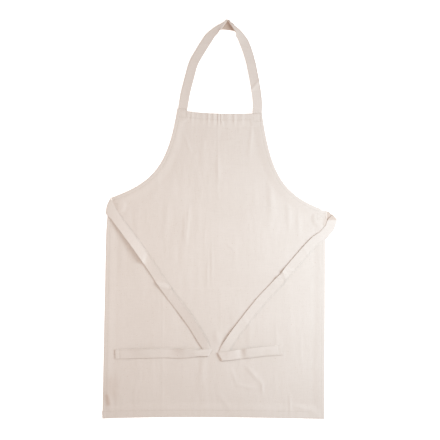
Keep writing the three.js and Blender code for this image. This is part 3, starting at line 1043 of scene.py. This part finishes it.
def tie_parts(side):
    """The tie's parts, from its sewn end on: rows of centres, directions across and roll."""
    shape = TIES[side]
    turn, fold = (joint_place(f"{side}_tie{end}_fold")[:2] for end in ("", "_end"))
    sewn, end = np.array([shape["sewn_x"], turn[1]]), np.array(shape["end"])
    path, t = bowed(turn + shape["start"], fold, shape["bow"])
    left = perpendicular(path)
    straight = np.array([*unit(fold - turn), 0])
    straight_left = np.array([-straight[1], straight[0], 0])
    first = crease_across(f"{side}_tie_fold", straight_left)
    second = crease_across(f"{side}_tie_end_fold", straight_left)
    first = first * [1, shape["long_crease"], 0]
    at = lengths(path)
    across = mixed(left, first, smooth(1 - at / shape["settle"]))
    across = mixed(across, second, smooth(1 - (at[-1] - at) / 30))
    across = across * follow(shape["pinch"], t)[:, None]
    second = across[-1]
    run = np.column_stack([path, follow(shape["lift"], t)])
    w = TAPE_COLUMNS / TAPE_HALF
    slanted = t[:, None] + follow(shape["slant"], t)[:, None] * w
    run_roll = follow(shape["roll"], np.clip(slanted, 0, 1))

    line, _ = bowed(sewn, turn, [(0, 0), (1, 0)])
    back = lifted(line, UNDER - TAPE_THICK / 2)
    near_crease = smooth(np.linspace(-2.6, 1, len(line)))
    back[:, :2] += near_crease[:, None] * shape["start"]
    back_across = mixed(-perpendicular(line), first, near_crease)
    turn_rows = turned_back(run[0] * [1, 1, 0], first, np.array([*unit(turn - sewn), 0]),
                            back[-1, 2], run[0, 2])

    line, t = bowed(fold, end, shape["end_bow"])
    over = np.column_stack([line, follow(shape["end_lift"], t)])
    over_across = -perpendicular(line) * follow(shape["end_pinch"], t)[:, None]
    over_across = mixed(over_across, second, smooth(1 - lengths(line) / 26))
    fold_rows = turned_back(run[-1] * [1, 1, 0], second, straight, run[-1, 2], over[0, 2])
    level = lambda centres: np.zeros((len(centres), len(w)))
    end_roll = np.repeat(follow(shape["end_roll"], t)[:, None], len(w), axis=1)
    return {
        "sewn": (back, back_across, level(back)),
        "turn": (*turn_rows, level(turn_rows[0])),
        "run": (run, across, run_roll),
        "fold": (*fold_rows, level(fold_rows[0])),
        "end": (over, over_across, end_roll),
    }


END_ROWS = 5  # rows of the free end from the stitches across it on
END_COLUMNS = slice(3, 13)  # the columns that these stitches cover
END_DIP = 0.7  # how far they pull the tape down
# Painted shade on the right tie where it comes out from behind the cloth: from where, how softly it
# fades, and how dark
STUB = {"x": 300, "y": -3, "fade_x": 14, "fade_y": 3, "painted_shade": 0.55}


def tie_stub_shade(side, points):
    """Painted shade on the right tie, darker where it comes out from behind the cloth."""
    where = smooth((points[..., 1] - STUB["y"]) / STUB["fade_y"]) \
        * smooth((points[..., 0] - STUB["x"]) / STUB["fade_x"])
    return (STUB["painted_shade"] * (side == "right") * where).ravel()


def waist_tie(side, material, thread):
    tie, shape, parts = f"{side}_tie", TIES[side], tie_parts(side)
    rows, begin = {}, 0
    for name, (centres, _, _) in parts.items():
        rows[name] = slice(begin, begin + len(centres))
        begin += len(centres)
    run, end = rows["run"], rows["end"]
    run_count = run.stop - run.start
    centres, across, roll = (np.concatenate(kind) for kind in zip(*parts.values()))
    w = TAPE_COLUMNS / TAPE_HALF
    s = lengths(centres)
    raised = np.abs(roll) * 0.5 - roll * 0.5 * w
    wavy = 0.3 * middling(s / 29, 3.3)[:, None] * w + 0.25 * streaky(s / 17, 6.6)[:, None]
    free = np.zeros(len(s))
    free[run] = middle(np.linspace(0, 1, run_count)) ** 0.5
    free[end] = smooth(np.linspace(0, 6, end.stop - end.start))
    run_length = s[run.stop - 1] - s[run.start]
    for place, height, width, slant in shape["creases"]:
        off = s[:, None] - s[run.start] - place * run_length - slant * w
        raised = raised + height * np.exp(-np.abs(off) / width)
    end_row = end.stop - END_ROWS
    raised[end_row] -= END_DIP
    tape = Tape(centres, across, raised + wavy * free[:, None])
    near_turn = smooth(1 - np.abs(np.arange(begin) - rows["turn"].start - 4) / 14)
    tape.middle[..., 0] -= SIDES[side] * shape["round_crease"] * near_turn[:, None] * w ** 2
    tape.rest_on_cloth(run)
    tape.rest_on_cloth(end)

    split = run.start + int(shape["split"] * run_count)
    top, bottom = tape.faces()
    both = lambda part: np.concatenate([top[part].reshape(-1, 3), bottom[part].reshape(-1, 3)])
    for name, part, joint, parent, child, nodes in (
            ("upper", slice(0, split + 1), f"{tie}_fold", rows["sewn"],
             slice(run.start, split + 1), (f"{tie}_sewn_end", tie)),
            ("lower", slice(split, begin), f"{tie}_end_fold", slice(split, run.stop), end,
             (f"{tie}_free_end",))):
        faces = top[part, ::-1], bottom[part, ::-1]
        piece = thin_sheet(f"{tie}_{name}_tape", *faces, material, "tape")
        # painted shade where the right tie comes out from behind the cloth
        paint_shade(piece, tie_stub_shade(side, np.concatenate(faces)))
        blend_over(piece, joint, both(parent), both(child))
        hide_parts(*nodes)

    margin = int(2 * TAPE_HALF / ROW_STEP)
    run_seam = tape.seam(slice(run.start + 2 * margin, run.stop - margin))
    end_seam = tape.seam(slice(end.start + margin, end_row + 1), -1)
    cross = [(top[end_row, END_COLUMNS], -1), (bottom[end_row, END_COLUMNS], 1)]
    for node, lines, body in ((f"{tie}_seam", run_seam, tie),
                              (f"{tie}_free_end_seam", end_seam, f"{tie}_end"),
                              (f"{tie}_end_stitching", cross, f"{tie}_end")):
        attach(stitches(f"{node}_rows", lines, thread), body, node)
    stitched_box(f"{tie}_stitching", "skirt", thread, crossed=True)


# -------- the label

LABEL_THICK = 0.25


def care_label(material):
    """A blank label, its edge caught behind the side hem."""
    (x0, x1), (y0, y1) = span("care_label", 0), span("care_label", 1)
    x, y = np.meshgrid(np.linspace(x0, x1, 19), np.linspace(y0, y1, 16))
    z = cloth_height(x, y) + UNDER
    piece = thin_sheet("blank_label", np.dstack([x, y, z]), np.dstack([x, y, z - LABEL_THICK]),
                       material, "label")
    return attach(piece, "skirt", "care_label")


# -------- everything together

camera_above()
studio()
floor()
cloth_material = canvas("cotton_canvas", CLOTH_LIGHT, CLOTH_DARK)
tape_material = canvas("cotton_tape", TAPE_LIGHT, TAPE_DARK, turn=math.radians(45))
thread_look = thread_material()

cloth = panel(cloth_material)
bend_at(cloth, "waist_fold", WAIST_BEND)
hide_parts("bib_panel", "skirt_panel")
sewn_on = hems(cloth_material, thread_look)
sewn_on.append(care_label(label_material()))
sewn_on += [stitched_box(f"{side}_strap_stitching", "bib", thread_look) for side in SIDES]
neck_strap(tape_material, thread_look)
for side in SIDES:
    waist_tie(side, tape_material, thread_look)

({"cad": [list(corner) for corner in CAD_BOX],
           "visual": [list(corner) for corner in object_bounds()]})
